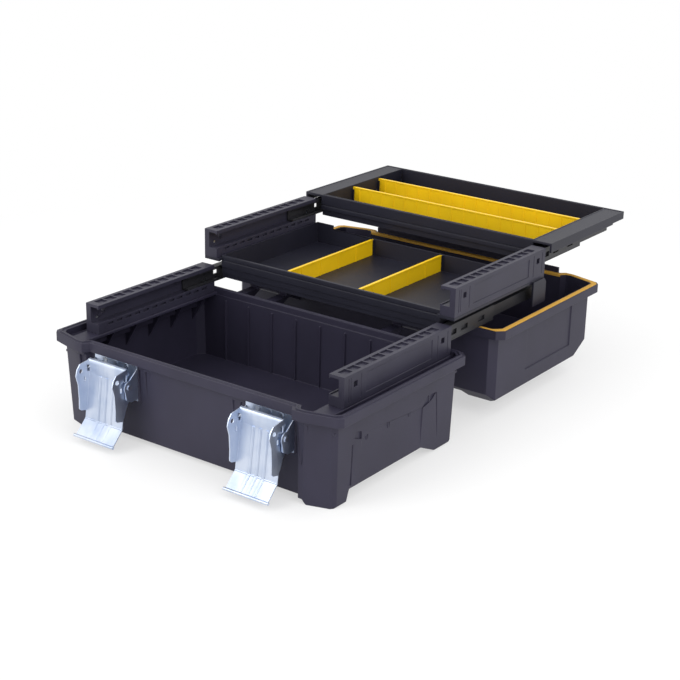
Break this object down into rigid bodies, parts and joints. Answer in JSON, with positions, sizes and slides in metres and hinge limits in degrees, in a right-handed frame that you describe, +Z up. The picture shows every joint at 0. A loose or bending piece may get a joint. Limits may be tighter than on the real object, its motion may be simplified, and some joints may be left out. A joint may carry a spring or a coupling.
{
  "type": "cantilever tool box",
  "caption": "Open cantilever tool box with trays drawn out on telescopic slides, metal latches and a lid laid back.",
  "frame": {"origin": "on the floor under the middle of the open box's bounding box", "axes": "+X to the box's right seen from the latches, +Y to the rear where the trays and lid lie, +Z up"},
  "size_m": [0.446, 0.7408, 0.202],
  "materials": {
    "charcoal_plastic": "fine moulded grain, dark charcoal",
    "black_plastic": "smooth low sheen, near black",
    "yellow_plastic": "satin",
    "amber_foam": "soft, matte",
    "zinc_steel": "bright zinc plating"
  },
  "bodies": {
    "base": {"base_tub": "charcoal_plastic", "lower_rail_left": "charcoal_plastic", "lower_rail_right": "charcoal_plastic", "lower_rail_screws": "zinc_steel", "lower_stop_pins": "zinc_steel", "lid_hinge_pins": "zinc_steel", "latch_bracket_left": "zinc_steel", "latch_bracket_right": "zinc_steel", "bracket_rivets": "zinc_steel", "latch_pivot_rivets": "zinc_steel"},
    "lower_slide_left": {"lower_slide_left": "black_plastic", "lower_slide_pin_left": "zinc_steel"},
    "lower_slide_right": {"lower_slide_right": "black_plastic", "lower_slide_pin_right": "zinc_steel"},
    "middle_tray": {"middle_tray": "charcoal_plastic", "middle_runner_left": "black_plastic", "middle_runner_right": "black_plastic", "upper_rail_left": "charcoal_plastic", "upper_rail_right": "charcoal_plastic", "upper_rail_screws": "zinc_steel", "upper_stop_pins": "zinc_steel", "middle_divider_left": "yellow_plastic", "middle_divider_right": "yellow_plastic"},
    "upper_slide_left": {"upper_slide_left": "black_plastic", "upper_slide_pin_left": "zinc_steel"},
    "upper_slide_right": {"upper_slide_right": "black_plastic", "upper_slide_pin_right": "zinc_steel"},
    "top_tray": {"top_tray": "charcoal_plastic", "top_runner_left": "black_plastic", "top_runner_right": "black_plastic", "top_divider_front": "yellow_plastic", "top_divider_rear": "yellow_plastic"},
    "lid": {"lid_shell": "charcoal_plastic", "lid_seal": "amber_foam", "handle_pins": "zinc_steel"},
    "carry_handle": {"carry_handle": "charcoal_plastic"},
    "latch_link_left": {"latch_link_left": "zinc_steel", "latch_lever_pin_left": "zinc_steel"},
    "latch_link_right": {"latch_link_right": "zinc_steel", "latch_lever_pin_right": "zinc_steel"},
    "latch_lever_left": {"latch_lever_left": "zinc_steel"},
    "latch_lever_right": {"latch_lever_right": "zinc_steel"}
  },
  "joints": [
    {"name": "middle_tray_travel", "type": "slide", "parent": "base", "child": "middle_tray", "axis": [0, 1, 0], "range_m": [-0.226, 0]},
    {"name": "lower_slide_left_travel", "type": "slide", "parent": "base", "child": "lower_slide_left", "axis": [0, 1, 0], "range_m": [-0.113, 0]},
    {"name": "lower_slide_right_travel", "type": "slide", "parent": "base", "child": "lower_slide_right", "axis": [0, 1, 0], "range_m": [-0.113, 0]},
    {"name": "top_tray_travel", "type": "slide", "parent": "middle_tray", "child": "top_tray", "axis": [0, 1, 0], "range_m": [-0.226, 0]},
    {"name": "upper_slide_left_travel", "type": "slide", "parent": "middle_tray", "child": "upper_slide_left", "axis": [0, 1, 0], "range_m": [-0.113, 0]},
    {"name": "upper_slide_right_travel", "type": "slide", "parent": "middle_tray", "child": "upper_slide_right", "axis": [0, 1, 0], "range_m": [-0.113, 0]},
    {"name": "lid_hinge", "type": "hinge", "parent": "base", "child": "lid", "pos_m": [0, -0.02755, 0.121], "axis": [1, 0, 0], "range_deg": [0, 3.5]},
    {"name": "handle_swing", "type": "hinge", "parent": "lid", "child": "carry_handle", "pos_m": [0, 0.11095, 0.012], "axis": [-1, 0, 0], "range_deg": [0, 90]},
    {"name": "latch_left_link_swing", "type": "hinge", "parent": "base", "child": "latch_link_left", "pos_m": [-0.12, -0.34005, 0.08], "axis": [-1, 0, 0], "range_deg": [0, 175]},
    {"name": "latch_left_lever_swing", "type": "hinge", "parent": "latch_link_left", "child": "latch_lever_left", "pos_m": [-0.12, -0.34005, 0.0675], "axis": [-1, 0, 0], "range_deg": [-175, 0]},
    {"name": "latch_right_link_swing", "type": "hinge", "parent": "base", "child": "latch_link_right", "pos_m": [0.12, -0.34005, 0.08], "axis": [-1, 0, 0], "range_deg": [0, 175]},
    {"name": "latch_right_lever_swing", "type": "hinge", "parent": "latch_link_right", "child": "latch_lever_right", "pos_m": [0.12, -0.34005, 0.0675], "axis": [-1, 0, 0], "range_deg": [-175, 0]}
  ],
  "couplings": [
    {"joint": "lower_slide_left_travel", "follows": "middle_tray_travel", "ratio": 0.5},
    {"joint": "lower_slide_right_travel", "follows": "middle_tray_travel", "ratio": 0.5},
    {"joint": "upper_slide_left_travel", "follows": "top_tray_travel", "ratio": 0.5},
    {"joint": "upper_slide_right_travel", "follows": "top_tray_travel", "ratio": 0.5},
    {"joint": "latch_left_lever_swing", "follows": "latch_left_link_swing", "ratio": -1},
    {"joint": "latch_right_lever_swing", "follows": "latch_right_link_swing", "ratio": -1}
  ]
}
